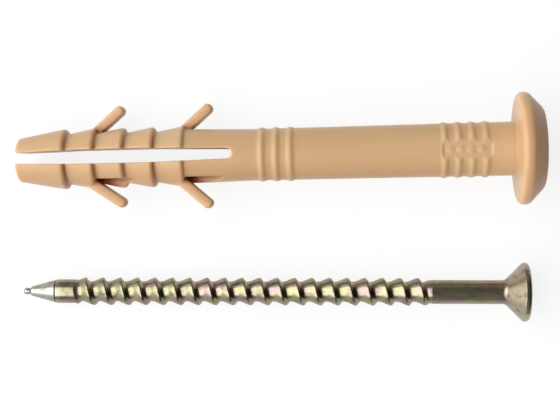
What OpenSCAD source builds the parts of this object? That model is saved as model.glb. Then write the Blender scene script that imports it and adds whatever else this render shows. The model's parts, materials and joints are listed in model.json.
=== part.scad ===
// Hammer fixing: a nylon plug with a barbed, slotted tip and folding wings,
// and the threaded steel nail that is driven into it. Millimetres.
// Both pieces lie side by side on a table, tips towards -X and heads towards +X.
// Each piece is drawn upright, tip at z = 0 and head up, and then laid down at the
// angle at which it comes to rest on its head and on its first barb or thread crest.

/* [Plug shank] */
// Length of the plug from tip to head
plug_length = 80; // [76:1:120]
// Diameter of the shank just behind the barbs
shank_back_d = 8.3; // [8:0.05:8.6]
// Diameter of the shank at the collar, its slimmest place
shank_d = 7.85; // [7.4:0.05:8]
// Diameter of the shank where it meets the head
shank_head_d = 8.15; // [7.6:0.05:8.6]
// Fillet between shank and head
neck_round = 0.7; // [0.1:0.05:1]

/* [Plug head] */
// Diameter of the head
head_d = 17; // [14:0.1:22]
// Thickness of the head
head_thickness = 3.95; // [3.4:0.05:6]
// Width of the straight rim below the bevel
head_rim = 1.6; // [1.4:0.1:2.4]
// Diameter of the flat on top of the head
head_top_d = 12; // [10.6:0.1:13]
// Rounding of the head's lower edge
head_foot_round = 0.4; // [0.1:0.05:0.6]
// Rounding of the head's upper edges
head_round = 1.1; // [0.2:0.05:1.2]

/* [Barbs] */
// Diameter of the tip
tip_d = 6.6; // [5:0.1:7]
// Rounding of the tip's edge
tip_round = 0.6; // [0.2:0.1:1]
// Diameter over the barbs, before their edges are rounded
barb_d = 9.35; // [9:0.05:9.8]
// Diameter in the notches between barbs
notch_d = 7.7; // [7.4:0.05:8]
// Number of barbs
barb_count = 5; // [4:1:6]
// Distance from the tip to the step behind the first barb
first_barb = 7.7; // [6:0.05:10]
// Distance from barb to barb
barb_pitch = 4.52; // [4:0.02:4.8]
// Length of the step behind a barb
barb_step = 0.3; // [0.1:0.05:0.6]
// Rounding of the barbs
barb_round = 0.55; // [0.1:0.05:0.6]

/* [Expansion slot] */
// Length of the slot from the tip
slot_length = 33.15; // [28:0.05:35]
// Width of the slot at the tip
slot_tip_w = 1.6; // [1.2:0.05:2.4]
// Width of the slot at its widest
slot_wide_w = 2.1; // [1.4:0.05:2.6]
// Width of the slot at its closed end
slot_end_w = 1.55; // [0.8:0.05:1.8]
// Length of slot from the tip to where it is widest
slot_wide_from = 9.4; // [6:0.1:14]
// Length of slot from the tip to where it starts to narrow
slot_wide_to = 20.4; // [16:0.1:26]
// How far the slot sits off the plug's axis, towards +Y
slot_offset = 0.26; // [0:0.02:0.4]

/* [Wings] */
// Free length of a wing beyond the barb
wing_free = 5; // [3:0.1:7]
// Thickness of a wing
wing_thickness = 1.6; // [1.2:0.05:2]
// Width of a wing
wing_width = 2.4; // [1.6:0.1:3]
// Rounding of a wing's long edges
wing_edge = 0.45; // [0.1:0.05:0.5]
// Rounding of a wing's tip
wing_tip_round = 0.75; // [0.3:0.05:0.8]
// Lean of the wings from the plug's axis
wing_lean = 41; // [32:1:48]
// How far the foremost wing on the -Y side is folded in
wing_fold = 7; // [0:1:10]
// Distance from a barb's step to the root of its wing
wing_set = 0.3; // [0:0.05:1.2]
// Distance from the plug's axis to where a wing's axis leaves its barb
wing_seat = 4.44; // [4.2:0.02:4.6]
// How far a wing sits off the parting plane, up on the -Y side and down on the +Y side
wing_rise = 1; // [0.4:0.05:1.4]
// Distance from the plug's axis to the wall of the pocket behind a wing
pocket_wall = 3.1; // [2.9:0.05:3.4]
// How far the pocket's floor lies beyond the parting plane
pocket_drop = 0.3; // [0.1:0.05:0.6]
// Radius of the pocket's floor, which sweeps up to the surface behind the wing
pocket_sweep = 8; // [6.5:0.5:10]

/* [Collar rings and grip ribs] */
// Number of collar rings
collar_rings = 3; // [1:1:4]
// Distance from the tip to the first collar ring
collar_at = 37.6; // [37:0.05:42]
// Distance from ring to ring in the collar
collar_pitch = 2.15; // [1.6:0.05:2.6]
// Number of grip ribs
grip_ribs = 4; // [2:1:5]
// Distance from the head's underside to the nearest grip rib
grip_gap = 4.85; // [3:0.05:8]
// Distance from rib to rib
grip_pitch = 2.05; // [1.6:0.05:2.6]
// Height of a ring or rib
rib_height = 0.22; // [0.1:0.02:0.4]
// Width of a ring or rib at its foot
rib_width = 1.3; // [0.8:0.05:1.5]
// Depth of the flat tablet across the grip ribs, below the shank's surface
tablet_depth = 0.12; // [0.04:0.02:0.3]
// How far the tablet reaches past the foremost rib
tablet_front = 0.4; // [0.2:0.05:1.2]
// How far the tablet reaches past the rib next to the head
tablet_back = 0.9; // [0.4:0.05:1.2]

/* [Nail hole] */
// Clearance of the nail's thread in the plug's bore, on the diameter
nail_clearance = 0.3; // [0.1:0.05:0.6]
// Clearance of the nail's head in its recess, on the diameter
recess_clearance = 0.3; // [0.1:0.05:0.6]
// Diameter of the narrow hole that the nail spreads
core_hole_d = 2.2; // [1.8:0.1:2.4]
// Length of the funnel from the bore to the narrow hole
funnel_length = 10; // [6:0.5:14]

/* [Nail] */
// Length of the nail
nail_length = 78.2; // [74:0.05:100]
// Diameter of the plain shank and the lead
blank_d = 3.7; // [3.5:0.02:3.9]
// Diameter over the thread
thread_d = 4.3; // [4.1:0.05:4.8]
// Diameter in the thread's root
thread_root_d = 3.1; // [2.8:0.05:3.3]
// Distance from thread to thread
thread_pitch = 2.71; // [2.2:0.01:2.9]
// Length of the plain lead between point and thread
lead_length = 2.8; // [2.4:0.1:6]
// Length of the plain shank between thread and head
nail_shank = 11.2; // [9:0.1:16]
// Length of the point with its nib
point_length = 5.2; // [4:0.1:7]
// Diameter of the blunt nib on the point
nib_d = 1.05; // [0.8:0.05:1.4]
// Diameter of the neck behind the nib
nib_neck_d = 0.95; // [0.6:0.05:1]
// Length of the nib
nib_length = 1; // [0.6:0.1:1.6]
// Diameter of the point where it starts behind the nib
point_d = 1.5; // [1.1:0.05:2]
// Depth of the shoulder between the point and the lead
shoulder = 0.1; // [0.05:0.01:0.2]
// Depth of the ring groove at the shoulder
groove_depth = 0.12; // [0.05:0.01:0.2]
// Width of the ring groove
groove_w = 0.25; // [0.15:0.01:0.4]

/* [Nail head] */
// Diameter of the nail's head
nail_head_d = 9.1; // [8:0.05:9.6]
// Height of the straight edge of the head
nail_land = 0.9; // [0.5:0.05:1.2]
// Full angle of the countersunk head
nail_head_angle = 90; // [80:1:100]
// Blend between shank and head
nail_neck_r = 1.2; // [0.4:0.1:2]
// Width across the cross recess
cross_d = 5.2; // [4:0.1:6]
// Width of a slot of the cross recess
cross_w = 1.1; // [0.8:0.05:1.4]
// Depth of the cross recess
cross_depth = 2.1; // [1:0.1:2.4]

/* [Layout] */
// Distance between the two axes
axis_gap = 21.15; // [18:0.05:30]
// Turn of the plug on the table, heads apart
plug_turn = 1.25; // [0:0.05:4]
// Roll of the plug about its own axis, slot towards the nail
plug_roll = 1.2; // [0:0.1:10]
// How far the nail's tip lies behind the plug's tip
nail_setback = 0.25; // [0:0.05:4]

/* [Hidden] */
$fn = 64;

// Steps in a rounded corner of an outline
corner_steps = 6;
edge_steps = 3;
// Overlap that lets a cut run out of its piece
cut = 1;
// Length of a wing's root in the wall, for its thickness
wing_root_share = 1.3;
// Rounding of the nib's end and of the nail head's edge, for their sizes
nib_round_share = 0.4;
land_round_share = 0.55;
// Length over which the thread fades in and out, in pitches
fade_share = 0.45;
// How deep a ring's section reaches into the shank, for its height
ring_root_share = 2;

// Plug, as distances from the tip
head_under = plug_length - head_thickness;
rim_end = head_under + head_rim;
collar_foot = collar_at - rib_width;
grip_at = head_under - grip_gap;
bore_d = thread_d + nail_clearance;
slot_end_r = slot_end_w / 2;
// The second barb and the last one carry wings
wing_barbs = [2, barb_count];
wing_root = wing_thickness * wing_root_share;
// The bore is whole for a short way before the slot begins
funnel_land = 1;
funnel_end = slot_length + funnel_land;

// Nail, as distances from the point
thread_start = point_length + lead_length;
nail_cone = (nail_head_d - blank_d) / 2 / tan(nail_head_angle / 2);
nail_cone_end = nail_length - nail_land;
nail_cone_start = nail_cone_end - nail_cone;
thread_end = nail_cone_start - nail_shank;

// Thread form along one pitch: a narrow root, a long flank that faces the point,
// a narrow crest and a steep flank that faces the head
thread_root_share = 0.1;
thread_flank_share = 0.62;
thread_crest_share = 0.08;
thread_phases = [0, thread_root_share, thread_root_share + thread_flank_share,
    thread_root_share + thread_flank_share + thread_crest_share];
thread_radii = [thread_root_d / 2, thread_root_d / 2, thread_d / 2, thread_d / 2];
thread_rows = len(thread_phases);
thread_steps = 24;
// The thread fades into the blank, just under its surface
thread_skin = 0.05;
thread_faded_r = blank_d / 2 - thread_skin;
thread_buried = 0.3;
thread_fade = thread_pitch * fade_share;
thread_turn = -263;
crest_phase = thread_root_share + thread_flank_share + thread_crest_share / 2;
thread_first = thread_start - thread_pitch - thread_buried;
thread_turns = ceil((thread_end + thread_buried - thread_first) / thread_pitch);

nylon = [0.83, 0.66, 0.48];
yellow_zinc = [0.72, 0.66, 0.42];

function unit(v) = v / norm(v);
function flat(p) = [p[0], p[1]];

// Centre of the arc that rounds corner b between its neighbours a and c
function fillet_centre(a, b, c, r) =
    let (u = unit(flat(a) - flat(b)), w = unit(flat(c) - flat(b)), half = acos(u * w) / 2)
    flat(b) + unit(u + w) * r / sin(half);

// Points of the arc that rounds corner b, or the corner itself
function fillet(a, b, c, steps) =
    let (r = b[2])
    r == 0 ? [flat(b)] :
    let (
        u = unit(flat(a) - flat(b)),
        w = unit(flat(c) - flat(b)),
        reach = r / tan(acos(u * w) / 2),
        centre = fillet_centre(a, b, c, r),
        from = flat(b) + u * reach - centre,
        to = flat(b) + w * reach - centre,
        start = atan2(from[1], from[0]),
        turn = (atan2(to[1], to[0]) - start + 540) % 360 - 180
    )
    [for (i = [0 : steps]) centre + r * [cos(start + turn * i / steps), sin(start + turn * i / steps)]];

// Outline from corners [x, y, rounding]
function rounded(corners, steps) =
    let (n = len(corners))
    [for (i = [0 : n - 1])
        each fillet(corners[(i + n - 1) % n], corners[i], corners[(i + 1) % n], steps)];

function barb_at(number) = first_barb + (number - 1) * barb_pitch;

// Radius of the tapering shank at a distance from the tip
function shank_r(z) =
    shank_d / 2 + (shank_head_d - shank_d) / 2 * (z - collar_foot) / (head_under - collar_foot);

// Corners of the plug's outline, from the tip to the top of the head
tip_corner = [tip_d / 2, 0, tip_round];
function barb_corners(number) = [
    [barb_d / 2, barb_at(number) - barb_step / 2, barb_round],
    [(number < barb_count ? notch_d : shank_back_d) / 2, barb_at(number) + barb_step / 2, 0]];
rim_low = [head_d / 2, head_under, head_foot_round];
rim_high = [head_d / 2, rim_end, head_round];
top_edge = [head_top_d / 2, plug_length, head_round];
plug_corners = [
    [0, 0, 0],
    tip_corner,
    for (number = [1 : barb_count]) each barb_corners(number),
    [shank_d / 2, collar_foot, 0],
    [shank_head_d / 2, head_under, neck_round],
    rim_low,
    rim_high,
    top_edge,
    [0, plug_length, 0]];

// Corners of the nail's outline before and behind the thread
nib_round = nib_d * nib_round_share;
point_end_r = blank_d / 2 - shoulder;
nail_front = [
    [0, 0, 0],
    [nib_d / 2, 0, nib_round],
    [nib_d / 2, nib_length / 2, 0],
    [nib_neck_d / 2, nib_length, 0],
    [point_d / 2, nib_length + (point_d - nib_neck_d) / 2, 0],
    [point_end_r, point_length - groove_w, 0],
    [point_end_r - groove_depth, point_length - groove_w / 2, 0],
    [blank_d / 2, point_length, 0],
    [blank_d / 2, thread_start, 0],
    [0, thread_start, 0]];
nail_back = [
    [0, thread_end, 0],
    [blank_d / 2, thread_end, 0],
    [blank_d / 2, nail_cone_start, nail_neck_r],
    [nail_head_d / 2, nail_cone_end, 0],
    [nail_head_d / 2, nail_length, nail_land * land_round_share],
    [0, nail_length, 0]];

// Angle and height at which a piece comes to rest on two rounded edges,
// each given as [centre radius, centre height, rounding]
function rest_tilt(low, high) =
    let (rise = high[0] - low[0], run = high[1] - low[1])
    atan2(rise, run) + asin((high[2] - low[2]) / norm([rise, run]));
function rest_lift(low, tilt) = low[0] * cos(tilt) + low[2] - low[1] * sin(tilt);
function rest_edge(a, b, c) = [each fillet_centre(a, b, c, b[2]), b[2]];

first_crest = rest_edge(tip_corner, barb_corners(1)[0], barb_corners(1)[1]);
rim_foot = rest_edge([shank_head_d / 2, head_under], rim_low, rim_high);
plug_tilt = rest_tilt(first_crest, rim_foot);
plug_lift = rest_lift(first_crest, plug_tilt);

// The nail rests on one of the first two places at which the thread's crest points down
crest_down = thread_first + thread_pitch * (crest_phase - thread_turn / 360);
nail_feet = [for (z = [crest_down, crest_down + thread_pitch]) [thread_r(thread_d / 2, z), z, 0]];
nail_rim = [nail_head_d / 2, nail_cone_end, 0];
nail_tilts = [for (foot = nail_feet) rest_tilt(foot, nail_rim)];
nail_tilt = min(nail_tilts);
nail_lift = rest_lift(nail_feet[nail_tilts[0] < nail_tilts[1] ? 0 : 1], nail_tilt);

// Layout that centres the pair's box over the origin
plug_dir = [cos(plug_tilt) * cos(plug_turn), cos(plug_tilt) * sin(plug_turn), sin(plug_tilt)];
across_x = sqrt(1 - plug_dir[0] * plug_dir[0]);
across_y = sqrt(1 - plug_dir[1] * plug_dir[1]);
tip_edge = rest_edge([0, 0], tip_corner, barb_corners(1)[0]);
crown_edge = rest_edge(rim_high, top_edge, [0, plug_length]);
rim_edge = rest_edge(rim_low, rim_high, top_edge);
front_reach = tip_edge[0] * across_x + tip_edge[2] - tip_edge[1] * plug_dir[0];
back_reach = crown_edge[0] * across_x + crown_edge[2] + crown_edge[1] * plug_dir[0];
plug_x = (front_reach - back_reach) / 2;
side_reach = plug_x * tan(plug_turn) + rim_edge[1] * plug_dir[1] + rim_edge[0] * across_y + rim_edge[2];
nail_y = (nail_head_d / 2 - axis_gap - side_reach) / 2;
plug_y = nail_y + axis_gap + plug_x * tan(plug_turn);
nail_x = plug_x + nail_setback;

// Lays an upright piece down with its head to +X, tilted and turned
module laid(place, tilt, turn) {
    translate(place) rotate([0, 90 - tilt, turn]) children();
}

// Section of a rounded ring that stands on the shank
module ring_section(z) {
    arc_r = (rib_height * rib_height + rib_width * rib_width / 4) / (2 * rib_height);
    crown = shank_r(z) + rib_height;
    intersection() {
        translate([crown - arc_r, z]) circle(r = arc_r);
        translate([crown - rib_height * (1 + ring_root_share), z - rib_width])
            square([rib_height * (2 + ring_root_share), rib_width * 2]);
    }
}

// Turned form of the plug with its barbs, collar, grip ribs and head
module plug_form() {
    rotate_extrude() {
        polygon(rounded(plug_corners, corner_steps));
        for (i = [0 : collar_rings - 1]) ring_section(collar_at + i * collar_pitch);
        for (i = [0 : grip_ribs - 1]) ring_section(grip_at - i * grip_pitch);
    }
}

// Pocket that takes a folded wing, with its floor near the parting plane and swept
// up to the surface behind the wing; its wall faces +X
module pocket(number) {
    from = barb_at(number);
    outside = barb_d / 2 + cut;
    translate([outside, 0, 0])
        rotate([0, -90, 0])
            linear_extrude(outside - pocket_wall)
                intersection() {
                    translate([from, pocket_drop - pocket_sweep]) circle(r = pocket_sweep);
                    translate([from, -outside])
                        square([pocket_sweep + cut, outside + pocket_drop + cut]);
                }
}

// Flat tablet that interrupts the grip ribs above the slot
module tablet() {
    from = grip_at - (grip_ribs - 1) * grip_pitch - tablet_front;
    reach = (grip_ribs - 1) * grip_pitch + tablet_front + tablet_back;
    floor_r = shank_r(from) - tablet_depth;
    translate([-floor_r - cut, -shank_d / 2, from]) cube([cut, shank_d, reach]);
}

// Bar along +X with rounded long edges and tip, its axis on the wing's axis
module wing_bar() {
    half = wing_thickness / 2;
    side = [
        [-wing_root, -half, 0],
        [wing_free, -half, wing_tip_round],
        [wing_free, half, wing_tip_round],
        [-wing_root, half, 0]];
    section = [for (c = [[-1, -1], [1, -1], [1, 1], [-1, 1]])
        [c[0] * half, c[1] * wing_width / 2, wing_edge]];
    intersection() {
        linear_extrude(wing_width + cut, center = true) polygon(rounded(side, corner_steps));
        translate([-wing_root - cut, 0, 0])
            rotate([90, 0, 90])
                linear_extrude(wing_root + wing_free + 2 * cut) polygon(rounded(section, edge_steps));
    }
}

// Wing that leans back from a barb's crest, rooted in the wall, out along +X
module wing(number, lean) {
    translate([wing_seat, -wing_rise, barb_at(number) + wing_set])
        rotate([90, 0, 0])
            rotate([0, 0, 90 - lean])
                wing_bar();
}

// Turns a wing or its pocket to the +Y side or to the -Y side
module on_left() {
    rotate([0, 0, 90]) children();
}
module on_right() {
    rotate([0, 0, -90]) children();
}

// Slot across the plug, widest in its middle, with a round closed end
module expansion_slot() {
    end = slot_length - slot_end_r;
    half = [for (w = [slot_tip_w, slot_wide_w, slot_end_w]) w / 2];
    edge = [[-cut, half[0]], [0, half[0]], [slot_wide_from, half[1]], [slot_wide_to, half[1]], [end, half[2]]];
    round_end = [for (i = [1 : 2 * corner_steps - 1])
        let (a = 90 - 90 * i / corner_steps) [end + slot_end_r * cos(a), slot_end_r * sin(a)]];
    other_edge = [for (i = [len(edge) - 1 : -1 : 0]) [edge[i][0], -edge[i][1]]];
    translate([0, slot_offset, 0])
        rotate([0, -90, 0])
            linear_extrude(barb_d + 2 * cut, center = true)
                polygon(concat(edge, round_end, other_edge));
}

// Hole for the nail: recess for its head, bore, funnel and narrow hole
module nail_hole() {
    recess_r = (nail_head_d + recess_clearance) / 2;
    recess_foot = plug_length - nail_land;
    cone_foot = recess_foot - (recess_r - bore_d / 2) / tan(nail_head_angle / 2);
    rotate_extrude()
        polygon([
            [0, -cut],
            [core_hole_d / 2, -cut],
            [core_hole_d / 2, funnel_end - funnel_length],
            [bore_d / 2, funnel_end],
            [bore_d / 2, cone_foot],
            [recess_r, recess_foot],
            [recess_r, plug_length + cut],
            [0, plug_length + cut]]);
}

// Moulded nylon plug
module plug_sleeve() {
    color(nylon)
        laid([plug_x, plug_y, plug_lift], plug_tilt, plug_turn)
            rotate([0, 0, plug_roll])
            difference() {
                union() {
                    difference() {
                        plug_form();
                        tablet();
                        for (number = wing_barbs) {
                            on_left() pocket(number);
                            on_right() pocket(number);
                        }
                    }
                    for (number = wing_barbs) {
                        on_left() wing(number, wing_lean);
                        on_right() wing(number, number == wing_barbs[0] ? wing_lean - wing_fold : wing_lean);
                    }
                }
                expansion_slot();
                nail_hole();
            }
}

// Place of point i of row j in the thread's winding grid
function thread_z(i, j) =
    thread_first + thread_pitch * (floor(j / thread_rows) + thread_phases[j % thread_rows] + i / thread_steps);
function thread_blend(z) =
    max(0, min(1, (z - thread_start) / thread_fade, (thread_end - z) / thread_fade));
function thread_r(r, z) = thread_faded_r + (r - thread_faded_r) * thread_blend(z);
function thread_point(i, j) =
    let (
        z = thread_z(i, j),
        r = thread_r(thread_radii[j % thread_rows], z),
        a = 360 * i / thread_steps
    )
    [r * cos(a), r * sin(a), z];

// Right-hand thread as one closed winding skin, capped inside the blank at both ends
module thread() {
    n = thread_steps;
    last = thread_rows * thread_turns;
    count = n * (last + 1);
    points = concat(
        [for (j = [0 : last]) for (i = [0 : n - 1]) thread_point(i, j)],
        [[0, 0, thread_first + thread_pitch / 2], [0, 0, thread_z(0, last) + thread_pitch / 2]]);
    function at(i, j) = i < n ? j * n + i : (j + thread_rows) * n;
    skin = [for (i = [0 : n - 1]) for (j = [0 : (i < n - 1 ? last : last - thread_rows) - 1])
        each [[at(i, j), at(i, j + 1), at(i + 1, j + 1)], [at(i, j), at(i + 1, j + 1), at(i + 1, j)]]];
    front = concat([for (i = [0 : n]) at(i, 0)], [for (j = [thread_rows - 1 : -1 : 0]) at(0, j)]);
    back = concat(
        [for (i = [0 : n - 1]) at(i, last)],
        [for (j = [1 : thread_rows]) at(n - 1, last - j)],
        [at(0, last)]);
    front_cap = [for (k = [0 : len(front) - 2]) [count, front[k], front[k + 1]]];
    back_cap = [for (k = [0 : len(back) - 2]) [count + 1, back[k + 1], back[k]]];
    rotate([0, 0, thread_turn]) polyhedron(points, concat(skin, front_cap, back_cap));
}

// Cross recess that narrows to its floor
module cross_recess() {
    for (a = [0, 90])
        rotate([0, 0, a])
            rotate([90, 0, 0])
                linear_extrude(cross_w, center = true)
                    polygon([
                        [-cross_d / 2, nail_length + cut],
                        [-cross_d / 2, nail_length],
                        [-cross_w, nail_length - cross_depth],
                        [cross_w, nail_length - cross_depth],
                        [cross_d / 2, nail_length],
                        [cross_d / 2, nail_length + cut]]);
}

// Threaded steel nail
module nail_screw() {
    color(yellow_zinc)
        laid([nail_x, nail_y, nail_lift], nail_tilt, 0)
            union() {
                thread();
                rotate_extrude() polygon(rounded(nail_front, corner_steps));
                difference() {
                    rotate_extrude() polygon(rounded(nail_back, corner_steps));
                    cross_recess();
                }
            }
}

plug_sleeve();
nail_screw();
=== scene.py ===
"""Hammer fixing on a pale table: a nylon plug with folding wings, and its threaded nail.

Each piece is shaped upright in millimetres, tip at z = 0 and head up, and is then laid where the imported
frame's mounts say that it lies.
"""

import json
import logging
import math
from collections.abc import Sequence
from dataclasses import dataclass, field
from enum import Enum

import bpy
from mathutils import Matrix, Vector

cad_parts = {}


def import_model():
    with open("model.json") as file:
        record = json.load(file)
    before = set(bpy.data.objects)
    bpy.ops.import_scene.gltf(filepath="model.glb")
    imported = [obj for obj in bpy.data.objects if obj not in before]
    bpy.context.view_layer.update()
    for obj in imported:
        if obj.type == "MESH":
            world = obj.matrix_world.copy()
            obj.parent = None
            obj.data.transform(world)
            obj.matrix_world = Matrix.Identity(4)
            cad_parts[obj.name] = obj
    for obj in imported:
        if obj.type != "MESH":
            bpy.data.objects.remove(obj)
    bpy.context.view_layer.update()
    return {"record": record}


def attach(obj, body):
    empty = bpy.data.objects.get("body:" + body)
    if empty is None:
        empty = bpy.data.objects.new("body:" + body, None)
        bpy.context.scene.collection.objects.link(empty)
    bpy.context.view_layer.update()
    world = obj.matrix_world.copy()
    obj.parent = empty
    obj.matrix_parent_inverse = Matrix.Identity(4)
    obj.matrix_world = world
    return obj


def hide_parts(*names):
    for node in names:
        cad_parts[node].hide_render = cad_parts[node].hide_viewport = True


logging.basicConfig(level=logging.INFO, format="%(message)s")
LOG = logging.getLogger("hammer_fixing")

MM = 0.001
IMAGE_WIDTH_PX = 560
MERGE_MM = 1e-4
OCCLUSION_RAYS = 8

# Places of the colour sockets on a mix node
MIX_FIRST, MIX_SECOND, MIX_RESULT = 6, 7, 2

Corner = tuple[float, float, float]
Triple = tuple[float, float, float]
Span = tuple[float, float]
Colour = tuple[float, float, float, float]


class Cut(Enum):
    """How a tool solid works on the piece that it meets."""

    AWAY = "DIFFERENCE"
    ON = "UNION"


class Side(Enum):
    """Side of the plug that a wing leans from, as a sign along +Y."""

    LEFT = 1
    RIGHT = -1


def clear_selection() -> None:
    """Leaves object mode on and nothing selected."""
    if bpy.context.object is not None and bpy.context.object.mode != "OBJECT":
        bpy.ops.object.mode_set(mode="OBJECT")
    bpy.ops.object.select_all(action="DESELECT")


def activate(piece: bpy.types.Object) -> None:
    """Makes one piece the only selected and active object.

    Args:
        piece: The piece that the next operators act on.
    """
    clear_selection()
    piece.select_set(True)
    bpy.context.view_layer.objects.active = piece


def rounded(corners: Sequence[Corner], steps: int) -> list[Vector]:
    """Rounds the corners of a closed outline.

    Args:
        corners: Points (across, along, rounding) in order round the outline.
        steps: Number of chords in each rounded corner.

    Returns:
        The outline's points, with an arc in place of each corner that has a rounding.
    """
    points: list[Vector] = []
    count = len(corners)
    for i, (x, y, radius) in enumerate(corners):
        here = Vector((x, y))
        if radius == 0:
            points.append(here)
            continue
        to_last = (Vector(corners[i - 1][:2]) - here).normalized()
        to_next = (Vector(corners[(i + 1) % count][:2]) - here).normalized()
        half = to_last.angle(to_next) / 2
        centre = here + (to_last + to_next).normalized() * radius / math.sin(half)
        start = here + to_last * radius / math.tan(half) - centre
        turn = start.angle_signed(here + to_next * radius / math.tan(half) - centre)
        for step in range(steps + 1):
            angle = -turn * step / steps
            arm = Vector((
                start.x * math.cos(angle) - start.y * math.sin(angle),
                start.x * math.sin(angle) + start.y * math.cos(angle),
            ))
            points.append(centre + arm)
    return points


def trace(name: str, points: Sequence[Vector]) -> bpy.types.Object:
    """Draws a chain of edges by extruding one vertex from point to point, and stays in edit mode.

    Args:
        name: Name of the new object.
        points: Points of the chain.

    Returns:
        The object that holds the chain.
    """
    clear_selection()
    bpy.ops.mesh.primitive_plane_add(size=1.0)
    piece = bpy.context.object
    piece.name = name
    bpy.ops.object.mode_set(mode="EDIT")
    bpy.ops.mesh.select_all(action="SELECT")
    bpy.ops.mesh.merge(type="CENTER")
    bpy.ops.transform.translate(value=points[0])
    for here, there in zip(points, points[1:]):
        bpy.ops.mesh.extrude_vertices_move(TRANSFORM_OT_translate={"value": there - here})
    return piece


def tidy_mesh(merge_distance: float = MERGE_MM) -> None:
    """Merges doubles and turns the faces outwards, in edit mode, then leaves edit mode.

    Args:
        merge_distance: Distance under which two vertices become one.
    """
    bpy.ops.mesh.select_all(action="SELECT")
    bpy.ops.mesh.remove_doubles(threshold=merge_distance)
    bpy.ops.mesh.normals_make_consistent(inside=False)
    bpy.ops.object.mode_set(mode="OBJECT")


def turned(name: str, outline: Sequence[Vector], steps: int) -> bpy.types.Object:
    """Spins a closed outline about the piece's axis.

    Args:
        name: Name of the new object.
        outline: Points (radius, height) of the section.
        steps: Number of steps in the full turn.

    Returns:
        The turned solid.
    """
    chain = [Vector((p.x, 0.0, p.y)) for p in outline]
    piece = trace(name, [*chain, chain[0]])
    bpy.ops.mesh.select_all(action="SELECT")
    bpy.ops.mesh.spin(steps=steps, angle=math.tau, center=(0, 0, 0), axis=(0, 0, 1))
    tidy_mesh()
    return piece


def prism(name: str, outline: Sequence[Vector], depth: float, place: Matrix) -> bpy.types.Object:
    """Extrudes a flat outline to a solid that is centred on its plane.

    Args:
        name: Name of the new object.
        outline: Points of the section in the XY plane.
        depth: Length of the extrusion along Z.
        place: Where the solid goes.

    Returns:
        The extruded solid, with its place in its mesh.
    """
    piece = trace(name, [Vector((p.x, p.y, -depth / 2)) for p in outline])
    bpy.ops.mesh.select_all(action="SELECT")
    bpy.ops.mesh.edge_face_add()
    bpy.ops.mesh.extrude_region_move(TRANSFORM_OT_translate={"value": (0, 0, depth)})
    tidy_mesh()
    set_place(piece, place)
    return piece


def set_place(piece: bpy.types.Object, place: Matrix) -> None:
    """Moves a piece and applies the move to its mesh.

    Args:
        piece: The piece to move.
        place: Where it goes.
    """
    activate(piece)
    piece.matrix_world = place
    bpy.ops.object.transform_apply(location=True, rotation=True, scale=True)


def modify(piece: bpy.types.Object, kind: str, **settings: object) -> None:
    """Adds a modifier to a piece and applies it.

    Args:
        piece: The piece to change.
        kind: The modifier's type name.
        settings: Attributes of the modifier.
    """
    activate(piece)
    bpy.ops.object.modifier_add(type=kind)
    modifier = piece.modifiers[-1]
    for name, value in settings.items():
        setattr(modifier, name, value)
    bpy.ops.object.modifier_apply(modifier=modifier.name)


def work(piece: bpy.types.Object, tool: bpy.types.Object, cut: Cut) -> None:
    """Cuts a tool solid from a piece or joins it on, and removes the tool.

    Args:
        piece: The solid that is worked.
        tool: The solid that works it.
        cut: Whether the tool takes away or adds.
    """
    modify(piece, "BOOLEAN", operation=cut.value, solver="EXACT", object=tool)
    bpy.data.objects.remove(tool)


def rotation(degrees: float, axis: str) -> Matrix:
    """Returns a turn about one axis through the origin."""
    return Matrix.Rotation(math.radians(degrees), 4, axis)


@dataclass(frozen=True)
class Lay:
    """Where an upright piece lies: its tip, the direction of its axis and its roll about that axis."""

    tip: Vector
    axis: Vector
    roll_deg: float

    @classmethod
    def from_mount(cls, record: dict, mount: str, outwards: bool, along_mm: float, roll_deg: float) -> "Lay":
        """Works out a lay from a mount on the piece's axis.

        Args:
            record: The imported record.
            mount: Name of the mount.
            outwards: Whether the mount's axis points from tip to head.
            along_mm: Distance from the tip to the mount.
            roll_deg: Roll about the piece's axis.

        Returns:
            The lay of the piece.
        """
        found = next(m for m in record["mounts"] if m["name"] == mount)
        axis = Vector(found["axis"]).normalized() * (1 if outwards else -1)
        return cls(Vector(found["pos_m"]) - axis * along_mm * MM, axis, roll_deg)

    def matrix(self) -> Matrix:
        """Works out where the piece goes.

        Returns:
            The matrix that lays an upright piece in millimetres down in the frame, in metres.
        """
        turn = math.degrees(math.atan2(self.axis.y, self.axis.x))
        tilt = math.degrees(math.asin(self.axis.z))
        return (
            Matrix.Translation(self.tip)
            @ rotation(turn, "Z")
            @ rotation(90 - tilt, "Y")
            @ rotation(self.roll_deg, "Z")
            @ Matrix.Scale(MM, 4)
        )


def lay_down(piece: bpy.types.Object, lay: Lay, finish: bpy.types.Material) -> None:
    """Lays a finished upright piece down and dresses it.

    Args:
        piece: The piece, upright and in millimetres.
        lay: Where it lies.
        finish: Its material.
    """
    set_place(piece, lay.matrix())
    piece.data.materials.clear()
    piece.data.materials.append(finish)


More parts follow.
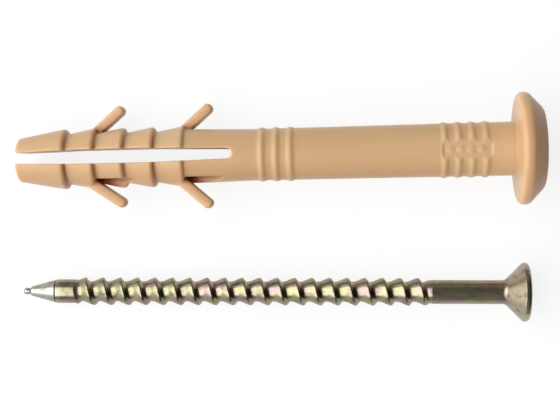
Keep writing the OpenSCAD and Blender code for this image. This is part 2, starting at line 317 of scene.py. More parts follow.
class NodeTree:
    """Short ways to add and join the nodes of one material or world."""

    def __init__(self, tree: bpy.types.NodeTree) -> None:
        """Takes an emptied node tree."""
        self.tree = tree
        tree.nodes.clear()

    def add(self, kind: str, **settings: object) -> bpy.types.Node:
        """Adds a node.

        Args:
            kind: The node's type name.
            settings: Attributes of the node.

        Returns:
            The new node.
        """
        node = self.tree.nodes.new(kind)
        for name, value in settings.items():
            setattr(node, name, value)
        return node

    def join(self, source: bpy.types.NodeSocket, target: bpy.types.NodeSocket) -> None:
        """Links an output to an input."""
        self.tree.links.new(source, target)

    def coords(self) -> bpy.types.NodeSocket:
        """Returns the object coordinates."""
        return self.add("ShaderNodeTexCoord").outputs["Object"]

    def along(self, coords: bpy.types.NodeSocket) -> bpy.types.NodeSocket:
        """Returns the place along X, from tips to heads.

        Args:
            coords: Object coordinates.

        Returns:
            The X coordinate.
        """
        split = self.add("ShaderNodeSeparateXYZ")
        self.join(coords, split.inputs["Vector"])
        return split.outputs["X"]

    def noise(self, coords: bpy.types.NodeSocket, cells: Triple, detail: float) -> bpy.types.NodeSocket:
        """Adds noise stretched by a scale for each axis.

        Args:
            coords: Object coordinates.
            cells: Cells in a metre along X, Y and Z.
            detail: Octaves of the noise.

        Returns:
            The noise's value.
        """
        mapping = self.add("ShaderNodeMapping")
        mapping.inputs["Scale"].default_value = cells
        self.join(coords, mapping.inputs["Vector"])
        noise = self.add("ShaderNodeTexNoise")
        noise.inputs["Scale"].default_value = 1.0
        noise.inputs["Detail"].default_value = detail
        self.join(mapping.outputs["Vector"], noise.inputs["Vector"])
        return noise.outputs["Fac"]

    def ramp(
        self, value: bpy.types.NodeSocket, places: Sequence[float], colours: Sequence[Colour]
    ) -> bpy.types.NodeSocket:
        """Turns a value into a colour.

        Args:
            value: The driving value.
            places: Places along the ramp.
            colours: The colour at each place.

        Returns:
            The colour.
        """
        node = self.add("ShaderNodeValToRGB")
        elements = node.color_ramp.elements
        while len(elements) < len(places):
            elements.new(1.0)
        for element, place, colour in zip(elements, places, colours):
            element.position = place
            element.color = colour
        self.join(value, node.inputs["Fac"])
        return node.outputs["Color"]

    def mix(
        self,
        share: bpy.types.NodeSocket,
        first: bpy.types.NodeSocket | Colour,
        second: bpy.types.NodeSocket | Colour,
    ) -> bpy.types.NodeSocket:
        """Mixes two colours.

        Args:
            share: Share of the second colour.
            first: First colour.
            second: Second colour.

        Returns:
            The mixed colour.
        """
        node = self.add("ShaderNodeMix", data_type="RGBA")
        self.join(share, node.inputs["Factor"])
        for place, colour in ((MIX_FIRST, first), (MIX_SECOND, second)):
            if isinstance(colour, tuple):
                node.inputs[place].default_value = colour
            else:
                self.join(colour, node.inputs[place])
        return node.outputs[MIX_RESULT]

    def span(
        self, value: bpy.types.NodeSocket, low: float, high: float, start: float = 0.0, stop: float = 1.0
    ) -> bpy.types.NodeSocket:
        """Spreads a value between two numbers.

        Args:
            value: The driving value.
            low: Result at the start.
            high: Result at the stop.
            start: Value at which the spread begins.
            stop: Value at which it ends.

        Returns:
            The spread value.
        """
        node = self.add("ShaderNodeMapRange")
        node.inputs["From Min"].default_value = start
        node.inputs["From Max"].default_value = stop
        node.inputs["To Min"].default_value = low
        node.inputs["To Max"].default_value = high
        self.join(value, node.inputs["Value"])
        return node.outputs["Result"]

    def bump(self, height: bpy.types.NodeSocket, strength: float, depth_m: float) -> bpy.types.NodeSocket:
        """Bends the normal by a height.

        Args:
            height: The driving value.
            strength: Share of the full bend.
            depth_m: Real height of the bumps.

        Returns:
            The bent normal.
        """
        node = self.add("ShaderNodeBump")
        node.inputs["Strength"].default_value = strength
        node.inputs["Distance"].default_value = depth_m
        self.join(height, node.inputs["Height"])
        return node.outputs["Normal"]

    def hollows(self, reach_m: float) -> bpy.types.NodeSocket:
        """Measures how shut in a place is.

        Args:
            reach_m: Distance within which other surfaces count.

        Returns:
            0 in the open and 1 deep in a hollow.
        """
        node = self.add("ShaderNodeAmbientOcclusion", samples=OCCLUSION_RAYS)
        node.inputs["Distance"].default_value = reach_m
        away = self.add("ShaderNodeMath", operation="SUBTRACT")
        away.inputs[0].default_value = 1.0
        self.join(node.outputs["AO"], away.inputs[1])
        return away.outputs["Value"]


def begin_material(name: str) -> tuple[bpy.types.Material, NodeTree]:
    """Starts a material.

    Args:
        name: Its name.

    Returns:
        The material and its emptied node tree.
    """
    made = bpy.data.materials.new(name)
    made.use_nodes = True
    return made, NodeTree(made.node_tree)


@dataclass(frozen=True)
class MouldedNylon:
    """Satin, slightly see-through nylon, with painted shade: darker red-brown in its hollows and redder
    towards the head's end.
    """

    tone: Colour = (0.58, 0.38, 0.2, 1.0)
    pale_tone: Colour = (0.615, 0.425, 0.24, 1.0)
    rosy_tone: Colour = (0.575, 0.35, 0.2, 1.0)
    flow_cells: Triple = (25, 140, 140)
    flow_places: Triple = (0.3, 0.5, 0.72)
    flow_detail: float = 3
    cloud_cells: Triple = (60, 60, 60)
    cloud_detail: float = 2
    cloud_share: float = 0.5
    # Painted shade: a redder tone painted over the head's bevel and end face, which lie in shade.
    crown_painted_shade_tone: Colour = (0.6, 0.31, 0.15, 1.0)
    crown_painted_shade_share: float = 0.8
    crown_painted_shade_reach_m: Span = (0.037, 0.0392)
    # Painted shade: a dark red-brown painted into creases, notches and pockets, where shade falls.
    hollow_shade_tone: Colour = (0.42, 0.13, 0.035, 1.0)
    hollow_shade_shares: Span = (-0.15, 2.2)
    hollow_shade_reach_m: float = 0.0013
    grain_cells: Triple = (2600, 2600, 2600)
    grain_detail: float = 2
    grain_strength: float = 0.12
    grain_depth_m: float = 0.00004
    roughness: Span = (0.3, 0.42)
    refraction: float = 1.53
    specular: float = 0.35
    scatter_weight: float = 0.8
    scatter_radii: Triple = (1.0, 0.32, 0.14)
    scatter_m: float = 0.002

    def material(self) -> bpy.types.Material:
        """Builds the finish.

        Returns:
            The material.
        """
        made, tree = begin_material("moulded_nylon")
        out = tree.add("ShaderNodeOutputMaterial")
        shader = tree.add("ShaderNodeBsdfPrincipled")
        coords = tree.coords()
        flow = tree.noise(coords, self.flow_cells, self.flow_detail)
        cloud = tree.noise(coords, self.cloud_cells, self.cloud_detail)
        grain = tree.noise(coords, self.grain_cells, self.grain_detail)
        body = tree.ramp(flow, self.flow_places, (self.rosy_tone, self.tone, self.pale_tone))
        body = tree.mix(tree.span(cloud, 0.0, self.cloud_share), body, self.tone)
        # Painted shade: the head's bevel and end face are tinted redder towards the end.
        crown_shade_mask = tree.span(tree.along(coords), 0.0, self.crown_painted_shade_share, *self.crown_painted_shade_reach_m)
        body = tree.mix(crown_shade_mask, body, self.crown_painted_shade_tone)
        # Painted shade: the more shut in a place is, the more of the dark red-brown shade tone it takes.
        hollow = tree.hollows(self.hollow_shade_reach_m)
        body = tree.mix(tree.span(hollow, *self.hollow_shade_shares), body, self.hollow_shade_tone)
        tree.join(body, shader.inputs["Base Color"])
        tree.join(tree.span(grain, *self.roughness), shader.inputs["Roughness"])
        tree.join(tree.bump(grain, self.grain_strength, self.grain_depth_m), shader.inputs["Normal"])
        shader.inputs["IOR"].default_value = self.refraction
        shader.inputs["Specular IOR Level"].default_value = self.specular
        shader.inputs["Subsurface Weight"].default_value = self.scatter_weight
        shader.inputs["Subsurface Radius"].default_value = self.scatter_radii
        shader.inputs["Subsurface Scale"].default_value = self.scatter_m
        tree.join(shader.outputs["BSDF"], out.inputs["Surface"])
        return made


@dataclass(frozen=True)
class YellowZinc:
    """Zinc plating with a yellow passivation that shades to green and rose, silvery at the point, with
    painted light on the head and painted shade in its hollows.
    """

    straw: Colour = (0.295, 0.26, 0.158, 1.0)
    green: Colour = (0.255, 0.26, 0.142, 1.0)
    rose: Colour = (0.275, 0.208, 0.198, 1.0)
    sheen_cells: Triple = (260, 620, 620)
    sheen_places: Triple = (0.34, 0.48, 0.62)
    sheen_detail: float = 3
    silver: Colour = (0.36, 0.36, 0.305, 1.0)
    silver_reach_m: Span = (-0.0352, -0.0334)
    # Painted light: a paler tone painted over the head, standing in for the light that falls on it.
    pale: Colour = (0.43, 0.37, 0.27, 1.0)
    head_painted_light_share: float = 0.6
    head_painted_light_reach_m: Span = (0.0346, 0.036)
    stain: Colour = (0.13, 0.105, 0.1, 1.0)
    stain_cells: Triple = (500, 1100, 1100)
    stain_detail: float = 3
    stain_share: float = 0.8
    stain_places: Span = (0.52, 0.72)
    # Painted shade: a dark olive-brown painted into the thread's grooves and the cross recess, where shade
    # falls.
    hollow_shade_tone: Colour = (0.06, 0.048, 0.028, 1.0)
    hollow_shade_shares: Span = (-0.25, 1.0)
    hollow_shade_reach_m: float = 0.0009
    grain_cells: Triple = (3200, 3200, 3200)
    grain_detail: float = 3
    roughness: Span = (0.18, 0.3)
    streak_cells: Triple = (90, 2600, 2600)
    streak_detail: float = 2
    dent_cells: Triple = (1300, 1300, 1300)
    dent_detail: float = 3
    uneven_strength: float = 0.3
    uneven_depth_m: float = 0.00003

    def material(self) -> bpy.types.Material:
        """Builds the finish.

        Returns:
            The material.
        """
        made, tree = begin_material("yellow_zinc")
        out = tree.add("ShaderNodeOutputMaterial")
        shader = tree.add("ShaderNodeBsdfPrincipled")
        coords = tree.coords()
        sheen = tree.noise(coords, self.sheen_cells, self.sheen_detail)
        streaks = tree.noise(coords, self.streak_cells, self.streak_detail)
        grain = tree.noise(coords, self.grain_cells, self.grain_detail)
        body = tree.ramp(sheen, self.sheen_places, (self.green, self.straw, self.rose))
        along = tree.along(coords)
        body = tree.mix(tree.span(along, 1.0, 0.0, *self.silver_reach_m), body, self.silver)
        # Painted light: the head is painted paler towards its end.
        body = tree.mix(tree.span(along, 0.0, self.head_painted_light_share, *self.head_painted_light_reach_m), body, self.pale)
        spots = tree.noise(coords, self.stain_cells, self.stain_detail)
        body = tree.mix(tree.span(spots, 0.0, self.stain_share, *self.stain_places), body, self.stain)
        # Painted shade: shut-in places take the dark shade tone.
        hollow = tree.hollows(self.hollow_shade_reach_m)
        body = tree.mix(tree.span(hollow, *self.hollow_shade_shares), body, self.hollow_shade_tone)
        tree.join(body, shader.inputs["Base Color"])
        tree.join(tree.span(grain, *self.roughness), shader.inputs["Roughness"])
        uneven = tree.add("ShaderNodeMath", operation="ADD")
        tree.join(streaks, uneven.inputs[0])
        tree.join(tree.noise(coords, self.dent_cells, self.dent_detail), uneven.inputs[1])
        bent = tree.bump(uneven.outputs["Value"], self.uneven_strength, self.uneven_depth_m)
        tree.join(bent, shader.inputs["Normal"])
        shader.inputs["Metallic"].default_value = 1.0
        tree.join(shader.outputs["BSDF"], out.inputs["Surface"])
        return made


@dataclass
class PlugSleeve:
    """The nylon plug, in millimetres, with lengths counted from its tip."""

    length: float = 80.0
    shank_back_r: float = 4.15
    shank_r: float = 3.925
    shank_head_r: float = 4.075
    neck_round: float = 0.7
    head_r: float = 8.49
    head_thickness: float = 3.95
    head_rim: float = 1.6
    head_top_r: float = 6.0
    head_foot_round: float = 0.8
    head_round: float = 1.1
    tip_r: float = 3.3
    tip_round: float = 0.6
    barb_r: float = 4.675
    notch_r: float = 3.85
    barb_count: int = 5
    winged_barbs: tuple[int, int] = (2, 5)
    first_barb: float = 7.7
    barb_pitch: float = 4.52
    barb_step: float = 0.3
    barb_round: float = 0.55
    notch_round: float = 0.12
    slot_length: float = 33.15
    slot_tip_half: float = 0.8
    slot_wide_half: float = 1.05
    slot_end_half: float = 0.775
    slot_wide_from: float = 9.4
    slot_wide_to: float = 20.4
    slot_offset: float = 0.26
    wing_free: float = 5.0
    wing_root: float = 2.08
    wing_thickness: float = 1.6
    wing_width: float = 2.4
    wing_edge: float = 0.45
    wing_edge_steps: int = 3
    wing_edge_deg: float = 60.0
    wing_tip_round: float = 0.75
    wing_lean: float = 41.0
    wing_fold: float = 7.0
    wing_set: float = 0.3
    wing_seat: float = 4.44
    wing_rise: float = 1.0
    pocket_wall: float = 3.1
    pocket_drop: float = 0.3
    pocket_sweep: float = 8.0
    sweep_steps: int = 24
    collar_rings: int = 3
    collar_at: float = 37.6
    collar_pitch: float = 2.15
    grip_ribs: int = 4
    grip_gap: float = 4.85
    grip_pitch: float = 2.05
    rib_height: float = 0.22
    rib_width: float = 1.3
    rib_power: float = 1.5
    tablet_depth: float = 0.12
    tablet_front: float = 0.4
    tablet_back: float = 0.9
    bore_r: float = 2.3
    core_r: float = 1.1
    funnel_end: float = 34.15
    funnel_length: float = 10.0
    recess_r: float = 4.7
    recess_depth: float = 0.9
    recess_round: float = 0.1
    mark_count: int = 4
    mark_length: float = 1.3
    mark_width: float = 1.0
    mark_height: float = 0.09
    mark_round: float = 0.1
    mark_steps: int = 3
    roll_deg: float = 1.2
    cut: float = 1.0
    turn_steps: int = 144
    corner_steps: int = 6
    rib_steps: int = 8
    voxel: float = 0.13
    soften_steps: int = 5
    soften_factor: float = 0.5
    most_triangles: int = 190000

    def barb_at(self, number: int) -> float:
        """Returns the distance from the tip to the step behind a barb."""
        return self.first_barb + (number - 1) * self.barb_pitch

    def head_under(self) -> float:
        """Returns the distance from the tip to the head's underside."""
        return self.length - self.head_thickness

    def grip_at(self) -> float:
        """Returns the distance from the tip to the grip rib next to the head."""
        return self.head_under() - self.grip_gap

    def shank_at(self, along: float) -> float:
        """Works out how thick the tapering shank is.

        Args:
            along: Distance from the tip.

        Returns:
            The shank's radius there.
        """
        foot = self.collar_at - self.rib_width
        share = (along - foot) / (self.head_under() - foot)
        return self.shank_r + (self.shank_head_r - self.shank_r) * share

    def rib_points(self, along: float) -> list[Corner]:
        """Draws the section of a round rib on the shank.

        Args:
            along: Distance from the tip to the rib's middle.

        Returns:
            Points of the rib, in order from the tip's side.
        """
        base_r = self.shank_at(along)
        return [
            (
                base_r + self.rib_height * math.sin(math.pi * k / self.rib_steps) ** self.rib_power,
                along + self.rib_width * (k / self.rib_steps - 0.5),
                0.0,
            )
            for k in range(self.rib_steps + 1)
        ]

    def outline(self) -> list[Vector]:
        """Draws the section of the turned form.

        Returns:
            Points of the outside from tip to head, then of the nail hole back.
        """
        corners: list[Corner] = [(self.core_r, 0.0, 0.0), (self.tip_r, 0.0, self.tip_round)]
        for number in range(1, self.barb_count + 1):
            foot_r = self.notch_r if number < self.barb_count else self.shank_back_r
            corners.append((self.barb_r, self.barb_at(number) - self.barb_step / 2, self.barb_round))
            corners.append((foot_r, self.barb_at(number) + self.barb_step / 2, self.notch_round))
        corners.append((self.shank_r, self.collar_at - self.rib_width, 0.0))
        for i in range(self.collar_rings):
            corners += self.rib_points(self.collar_at + i * self.collar_pitch)
        for i in reversed(range(self.grip_ribs)):
            corners += self.rib_points(self.grip_at() - i * self.grip_pitch)
        recess_foot = self.length - self.recess_depth
        corners += [
            (self.shank_head_r, self.head_under(), self.neck_round),
            (self.head_r, self.head_under(), self.head_foot_round),
            (self.head_r, self.head_under() + self.head_rim, self.head_round),
            (self.head_top_r, self.length, self.head_round),
            (self.recess_r, self.length, self.recess_round),
            (self.recess_r, recess_foot, 0.0),
            (self.bore_r, recess_foot - self.recess_r + self.bore_r, 0.0),
            (self.bore_r, self.funnel_end, 0.0),
            (self.core_r, self.funnel_end - self.funnel_length, 0.0),
        ]
        return rounded(corners, self.corner_steps)

    def wing_turn(self, side: Side) -> Matrix:
        """Returns the turn about the plug's axis that brings the +X side to a wing's place."""
        return rotation(90 * side.value, "Z")

    def pocket(self, number: int, side: Side) -> bpy.types.Object:
        """Models the hollow behind a wing, for the folded wing to lie in, swept up to the surface.

        Args:
            number: Barb that carries the wing.
            side: Side of the plug.

        Returns:
            The tool solid.
        """
        start = self.barb_at(number)
        centre = self.pocket_drop - self.pocket_sweep
        outside = self.barb_r + self.cut
        last = math.acos((-outside - centre) / self.pocket_sweep)
        floor = [last * k / self.sweep_steps for k in range(self.sweep_steps + 1)]
        outline = [Vector((start, -outside))] + [
            Vector((math.sin(angle), math.cos(angle))) * self.pocket_sweep + Vector((start, centre))
            for angle in floor
        ]
        middle = Matrix.Translation(((outside + self.pocket_wall) / 2, 0.0, 0.0))
        place = self.wing_turn(side) @ middle @ rotation(-90, "Y")
        return prism("pocket", outline, outside - self.pocket_wall, place)

    def wing(self, number: int, side: Side) -> bpy.types.Object:
        """Models a wing as a bar with rounded edges and tip, rooted in the wall.

        Args:
            number: Barb that carries the wing.
            side: Side of the plug.

        Returns:
            The wing's solid.
        """
        folded = side is Side.RIGHT and number == self.winged_barbs[0]
        lean = self.wing_lean - (self.wing_fold if folded else 0.0)
        half = self.wing_thickness / 2
        outline = rounded(
            [
                (-self.wing_root, -half, 0.0),
                (self.wing_free, -half, self.wing_tip_round),
                (self.wing_free, half, self.wing_tip_round),
                (-self.wing_root, half, 0.0),
            ],
            self.corner_steps,
        )
        place = (
            self.wing_turn(side)
            @ Matrix.Translation((self.wing_seat, -self.wing_rise, self.barb_at(number) + self.wing_set))
            @ rotation(90, "X")
            @ rotation(90 - lean, "Z")
        )
        bar = prism("wing", outline, self.wing_width, place)
        limit = math.radians(self.wing_edge_deg)
        modify(bar, "BEVEL", width=self.wing_edge, segments=self.wing_edge_steps, angle_limit=limit)
        return bar

    def slot(self) -> bpy.types.Object:
        """Models the expansion slot, widest in its middle, with a round closed end.

        Returns:
            The tool solid.
        """
        end = self.slot_length - self.slot_end_half
        edge = [
            (-self.cut, self.slot_tip_half),
            (0.0, self.slot_tip_half),
            (self.slot_wide_from, self.slot_wide_half),
            (self.slot_wide_to, self.slot_wide_half),
            (end, self.slot_end_half),
        ]
        arc_steps = 2 * self.corner_steps
        arc = [
            (
                end + self.slot_end_half * math.sin(math.pi * k / arc_steps),
                self.slot_end_half * math.cos(math.pi * k / arc_steps),
            )
            for k in range(1, arc_steps)
        ]
        mirrored = [(along, -half) for along, half in reversed(edge)]
        outline = [Vector(point) for point in [*edge, *arc, *mirrored]]
        place = Matrix.Translation((0.0, self.slot_offset, 0.0)) @ rotation(-90, "Y")
        return prism("slot", outline, 2 * (self.barb_r + self.cut), place)

    def tablet(self) -> bpy.types.Object:
        """Models the flat that interrupts the grip ribs above the slot.

        Returns:
            The tool solid.
        """
        start = self.grip_at() - (self.grip_ribs - 1) * self.grip_pitch - self.tablet_front
        reach = (self.grip_ribs - 1) * self.grip_pitch + self.tablet_front + self.tablet_back
        floor_r = self.shank_at(start) - self.tablet_depth
        outline = [
            Vector((-floor_r - self.cut, start)),
            Vector((-floor_r, start)),
            Vector((-floor_r, start + reach)),
            Vector((-floor_r - self.cut, start + reach)),
        ]
        return prism("tablet", outline, 2 * self.shank_r, rotation(90, "X"))

    def mark(self, number: int) -> bpy.types.Object:
        """Models one raised lozenge of the plain row on the tablet.

        Args:
            number: Place in the row, from the tip's side.

        Returns:
            The lozenge's solid.
        """
        row = (self.grip_ribs - 1) * self.grip_pitch
        along = self.grip_at() - row + row * (number + 0.5) / self.mark_count
        floor_r = self.shank_at(along) - self.tablet_depth
        outline = rounded(
            [
                (-self.mark_width / 2, 0.0, self.mark_round),
                (0.0, -self.mark_length / 2, self.mark_round),
                (self.mark_width / 2, 0.0, self.mark_round),
                (0.0, self.mark_length / 2, self.mark_round),
            ],
            self.mark_steps,
        )
        place = Matrix.Translation((-floor_r, 0.0, along)) @ rotation(90, "Z") @ rotation(90, "X")
        return prism("mark", outline, 2 * self.mark_height, place)

    def soften(self, piece: bpy.types.Object) -> None:
        """Rounds every edge a little, as a moulding's edges are, and keeps the mesh light.

        Args:
            piece: The sharp solid.
        """
        modify(piece, "REMESH", mode="VOXEL", voxel_size=self.voxel)
        modify(piece, "SMOOTH", factor=self.soften_factor, iterations=self.soften_steps)
        triangles = sum(len(face.vertices) - 2 for face in piece.data.polygons)
        if triangles > self.most_triangles:
            modify(piece, "DECIMATE", ratio=self.most_triangles / triangles)
        bpy.ops.object.shade_smooth()

    def build(self, lay: Lay, finish: bpy.types.Material) -> bpy.types.Object:
        """Models the plug, lays it down and dresses it.

        Args:
            lay: Where the plug lies.
            finish: Its material.

        Returns:
            The finished piece.
        """
        piece = turned("plug_moulding", self.outline(), self.turn_steps)
        for number in self.winged_barbs:
            for side in Side:
                work(piece, self.pocket(number, side), Cut.AWAY)
        work(piece, self.tablet(), Cut.AWAY)
        for number in range(self.mark_count):
            work(piece, self.mark(number), Cut.ON)
        for number in self.winged_barbs:
            for side in Side:
                work(piece, self.wing(number, side), Cut.ON)
        work(piece, self.slot(), Cut.AWAY)
        self.soften(piece)
        lay_down(piece, lay, finish)
        return piece


@dataclass
class NailScrew:
    """The threaded steel nail, in millimetres, with lengths counted from its point."""

    length: float = 78.2
    blank_r: float = 1.85
    thread_r: float = 2.15
    thread_root_r: float = 1.55
    thread_pitch: float = 2.71
    thread_start: float = 8.0
    thread_end: float = 63.4
    thread_turn: float = -263.0
    thread_buried: float = 0.3
    thread_skin: float = 0.02
    root_share: float = 0.1
    flank_share: float = 0.62
    crest_share: float = 0.08
    flank_form: tuple[Span, ...] = ((0.25, 0.12), (0.5, 0.42), (0.75, 0.73))
    lip_form: tuple[Span, ...] = ((-0.03, 0.95), (0.0, 0.99))
    back_form: tuple[Span, ...] = ((0.0, 0.98), (0.025, 0.9), (0.1, 0.45), (0.175, 0.08))
    fade_share: float = 0.45
    point_length: float = 5.2
    nib_r: float = 0.525
    nib_neck_r: float = 0.475
    nib_length: float = 1.0
    point_r: float = 0.75
    point_round: float = 0.1
    nib_round: float = 0.42
    shoulder: float = 0.1
    groove_depth: float = 0.12
    groove_width: float = 0.25
    shoulder_round: float = 0.05
    head_r: float = 4.54
    land: float = 0.9
    land_round: float = 0.495
    rim_round: float = 0.1
    neck_r: float = 1.2
    cross_d: float = 5.2
    cross_w: float = 1.1
    cross_depth: float = 2.1
    roll_deg: float = 0.0
    cut: float = 1.0
    turn_steps: int = 96
    thread_steps: int = 64
    corner_steps: int = 6
    sharp_deg: float = 38.0
    sliver: float = 0.002

    def front(self) -> list[Vector]:
        """Draws the section of nib, point, ring groove and lead.

        Returns:
            Points of the closed outline.
        """
        point_end_r = self.blank_r - self.shoulder
        return rounded(
            [
                (0.0, 0.0, 0.0),
                (self.nib_r, 0.0, self.nib_round),
                (self.nib_r, self.nib_length / 2, 0.0),
                (self.nib_neck_r, self.nib_length, 0.0),
                (self.point_r, self.nib_length + self.point_r - self.nib_neck_r, self.point_round),
                (point_end_r, self.point_length - self.groove_width, 0.0),
                (point_end_r - self.groove_depth, self.point_length - self.groove_width / 2, 0.0),
                (self.blank_r, self.point_length, self.shoulder_round),
                (self.blank_r, self.thread_start, 0.0),
                (0.0, self.thread_start, 0.0),
            ],
            self.corner_steps,
        )

    def back(self) -> list[Vector]:
        """Draws the section of plain shank and countersunk head.

        Returns:
            Points of the closed outline.
        """
        cone_end = self.length - self.land
        cone_start = cone_end - (self.head_r - self.blank_r)
        return rounded(
            [
                (0.0, self.thread_end, 0.0),
                (self.blank_r, self.thread_end, 0.0),
                (self.blank_r, cone_start, self.neck_r),
                (self.head_r, cone_end, self.rim_round),
                (self.head_r, self.length, self.land_round),
                (0.0, self.length, 0.0),
            ],
            self.corner_steps,
        )

    def thread_form(self) -> list[Vector]:
        """Draws one pitch of the thread, with a slanting flank in front and a steep back.

        Returns:
            Points (radius, height) from root to root.
        """
        flank_end = self.root_share + self.flank_share
        crest_end = flank_end + self.crest_share
        shares = [(0.0, 0.0), (self.root_share, 0.0)]
        shares += [(self.root_share + run * self.flank_share, rise) for run, rise in self.flank_form]
        shares += [(flank_end + run, rise) for run, rise in self.lip_form]
        shares.append(((flank_end + crest_end) / 2, 1.0))
        shares += [(crest_end + run, rise) for run, rise in self.back_form]
        shares.append((1.0, 0.0))
        height = self.thread_r - self.thread_root_r
        return [Vector((self.thread_root_r + height * h, self.thread_pitch * s)) for s, h in shares]

    def fade(self, along: float) -> float:
        """Returns how much of the thread shows at a distance from the point: 0 is plain blank."""
        run = self.thread_pitch * self.fade_share
        return max(0.0, min(1.0, (along - self.thread_start) / run, (self.thread_end - along) / run))

    def thread(self) -> bpy.types.Object:
        """Winds the thread, fades it into the blank at both ends and cuts it off flat inside the blank.

        Returns:
            The thread's solid.
        """
        first = self.thread_start - self.thread_pitch - self.thread_buried
        turns = math.ceil((self.thread_end + self.thread_buried - first) / self.thread_pitch)
        chain = [Vector((p.x, 0.0, first + p.y)) for p in self.thread_form()]
        piece = trace("thread", chain)
        modify(
            piece,
            "SCREW",
            axis="Z",
            angle=math.tau,
            screw_offset=self.thread_pitch,
            iterations=turns + 1,
            steps=self.thread_steps,
            render_steps=self.thread_steps,
        )
        plain_r = self.blank_r - self.thread_skin
        for vertex in piece.data.vertices:
            radius = math.hypot(vertex.co.x, vertex.co.y)
            scale = (plain_r + (radius - plain_r) * self.fade(vertex.co.z)) / radius
            vertex.co.x *= scale
            vertex.co.y *= scale
        bpy.ops.object.mode_set(mode="EDIT")
        ends = ((self.thread_start - self.thread_buried, -1), (self.thread_end + self.thread_buried, 1))
        for height, up in ends:
            bpy.ops.mesh.select_all(action="SELECT")
            bpy.ops.mesh.remove_doubles(threshold=MERGE_MM)
            bpy.ops.mesh.select_all(action="SELECT")
            bpy.ops.mesh.bisect(plane_co=(0, 0, height), plane_no=(0, 0, up), use_fill=True, clear_outer=True)
        tidy_mesh()
        set_place(piece, rotation(self.thread_turn, "Z"))
        return piece

    def recess_blade(self, turn_deg: float) -> bpy.types.Object:
        """Models one of the two slots of the cross recess.

        Args:
            turn_deg: Turn of the slot about the nail's axis.

        Returns:
            The tool solid.
        """
        outline = [
            Vector((-self.cross_d / 2, self.length + self.cut)),
            Vector((-self.cross_d / 2, self.length)),
            Vector((-self.cross_w, self.length - self.cross_depth)),
            Vector((self.cross_w, self.length - self.cross_depth)),
            Vector((self.cross_d / 2, self.length)),
            Vector((self.cross_d / 2, self.length + self.cut)),
        ]
        return prism("recess", outline, self.cross_w, rotation(turn_deg, "Z") @ rotation(90, "X"))

    def build(self, lay: Lay, finish: bpy.types.Material) -> bpy.types.Object:
        """Models the nail, lays it down and dresses it.

        Args:
            lay: Where the nail lies.
            finish: Its material.

        Returns:
            The finished piece.
        """
        piece = turned("nail", self.back(), self.turn_steps)
        for turn_deg in (0, 90):
            work(piece, self.recess_blade(turn_deg), Cut.AWAY)
        work(piece, self.thread(), Cut.ON)
        work(piece, turned("point", self.front(), self.turn_steps), Cut.ON)
        activate(piece)
        bpy.ops.object.mode_set(mode="EDIT")
        bpy.ops.mesh.select_all(action="SELECT")
        bpy.ops.mesh.quads_convert_to_tris()
        tidy_mesh(self.sliver)
        bpy.ops.object.shade_smooth_by_angle(angle=math.radians(self.sharp_deg))
        lay_down(piece, lay, finish)
        return piece


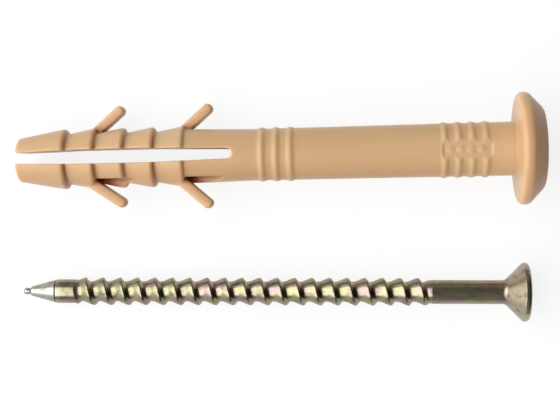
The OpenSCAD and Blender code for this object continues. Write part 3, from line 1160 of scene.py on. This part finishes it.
@dataclass
class Studio:
    """Pale table, soft light and the camera that looks straight down, in metres."""

    floor_size: float = 3.0
    floor_cells: Triple = (400, 400, 400)
    floor_detail: float = 2
    floor_places: Span = (0.3, 0.7)
    floor_tones: tuple[Colour, Colour] = ((0.78, 0.78, 0.78, 1.0), (0.82, 0.82, 0.82, 1.0))
    floor_seen_tone: Colour = (0.16, 0.16, 0.16, 1.0)
    floor_glow: float = 0.84
    camera_x: float = 0.00017
    camera_y: float = -0.00031
    camera_height: float = 0.2025
    focal_px: float = 1286.0
    sensor_mm: float = 36.0
    near_clip: float = 0.001
    sky_zenith: Colour = (0.16, 0.16, 0.165, 1.0)
    sky_side: Colour = (0.5, 0.5, 0.5, 1.0)
    sky_west: Colour = (1.7, 1.7, 1.68, 1.0)
    sky_east: Colour = (0.04, 0.04, 0.042, 1.0)
    sky_heights: Span = (0.3, 0.9)
    west_reach: Span = (-1.0, -0.3)
    east_reach: Span = (0.1, 0.5)
    key_place: Vector = field(default_factory=lambda: Vector((-0.327, -0.05, 0.503)))
    key_length: float = 0.5
    key_width: float = 1.0
    key_watts: float = 4.7

    def camera(self) -> None:
        """Sets the camera over the table, with +Y up in the picture."""
        data = bpy.data.cameras.new("camera")
        data.sensor_fit = "HORIZONTAL"
        data.sensor_width = self.sensor_mm
        data.lens = self.focal_px * self.sensor_mm / IMAGE_WIDTH_PX
        data.clip_start = self.near_clip
        placed = bpy.data.objects.new("camera", data)
        placed.location = (self.camera_x, self.camera_y, self.camera_height)
        bpy.context.scene.collection.objects.link(placed)
        bpy.context.scene.camera = placed

    def floor(self) -> None:
        """Lays the pale table, which shows white and keeps the pieces' shadow."""
        clear_selection()
        bpy.ops.mesh.primitive_plane_add(size=self.floor_size)
        top = bpy.context.object
        top.name = "table_top"
        made, tree = begin_material("table_top")
        out = tree.add("ShaderNodeOutputMaterial")
        matt = tree.add("ShaderNodeBsdfDiffuse")
        grain = tree.noise(tree.coords(), self.floor_cells, self.floor_detail)
        tone = tree.ramp(grain, self.floor_places, self.floor_tones)
        path = tree.add("ShaderNodeLightPath")
        seen = tree.add("ShaderNodeMath", operation="MAXIMUM")
        tree.join(path.outputs["Is Camera Ray"], seen.inputs[0])
        tree.join(path.outputs["Is Glossy Ray"], seen.inputs[1])
        through = tree.add("ShaderNodeMath", operation="MAXIMUM")
        tree.join(seen.outputs["Value"], through.inputs[0])
        tree.join(path.outputs["Is Transmission Ray"], through.inputs[1])
        tone = tree.mix(through.outputs["Value"], tone, self.floor_seen_tone)
        tree.join(tone, matt.inputs["Color"])
        glow = tree.add("ShaderNodeEmission")
        tree.join(tree.span(through.outputs["Value"], 0.0, self.floor_glow), glow.inputs["Strength"])
        both = tree.add("ShaderNodeAddShader")
        tree.join(matt.outputs["BSDF"], both.inputs[0])
        tree.join(glow.outputs["Emission"], both.inputs[1])
        tree.join(both.outputs["Shader"], out.inputs["Surface"])
        top.data.materials.append(made)

    def key(self) -> None:
        """Hangs the soft key lamp beyond the tips, long side across the pieces, facing them."""
        data = bpy.data.lights.new("key", "AREA")
        data.shape = "RECTANGLE"
        data.size = self.key_width
        data.size_y = self.key_length
        data.energy = self.key_watts
        lamp = bpy.data.objects.new("key", data)
        lamp.location = self.key_place
        lamp.rotation_euler = (-self.key_place).to_track_quat("-Z", "Y").to_euler()
        bpy.context.scene.collection.objects.link(lamp)

    def sky(self) -> None:
        """Lights the table from all round: darkest above and at the heads, brightest beyond the tips."""
        world = bpy.data.worlds.new("sky")
        world.use_nodes = True
        tree = NodeTree(world.node_tree)
        out = tree.add("ShaderNodeOutputWorld")
        light = tree.add("ShaderNodeBackground")
        split = tree.add("ShaderNodeSeparateXYZ")
        tree.join(tree.add("ShaderNodeTexCoord").outputs["Generated"], split.inputs["Vector"])
        along, height = split.outputs["X"], split.outputs["Z"]
        tone = tree.ramp(height, self.sky_heights, (self.sky_side, self.sky_zenith))
        tone = tree.mix(tree.span(along, 1.0, 0.0, *self.west_reach), tone, self.sky_west)
        tone = tree.mix(tree.span(along, 0.0, 1.0, *self.east_reach), tone, self.sky_east)
        tree.join(tone, light.inputs["Color"])
        tree.join(light.outputs["Background"], out.inputs["Surface"])
        bpy.context.scene.world = world

    def build(self) -> None:
        """Sets up table, light and camera."""
        self.floor()
        self.sky()
        self.key()
        self.camera()
        bpy.context.scene.view_settings.view_transform = "Standard"


def main() -> None:
    """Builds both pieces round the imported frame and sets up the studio."""
    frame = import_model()
    record = frame["record"]

    plug = PlugSleeve()
    plug_lay = Lay.from_mount(record, "wall_shank", False, plug.head_under(), plug.roll_deg)
    nail = NailScrew()
    nail_lay = Lay.from_mount(record, "driver_recess", True, nail.length, nail.roll_deg)
    made = [
        (plug.build(plug_lay, MouldedNylon().material()), "plug_sleeve", "nylon"),
        (nail.build(nail_lay, YellowZinc().material()), "nail_screw", "yellow_zinc"),
    ]
    for piece, node, slot in made:
        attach(piece, "root")
        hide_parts(node)
        LOG.info("%s stands for %s with %d faces", piece.name, node, len(piece.data.polygons))

    Studio().build()


if __name__ == "__main__":
    main()
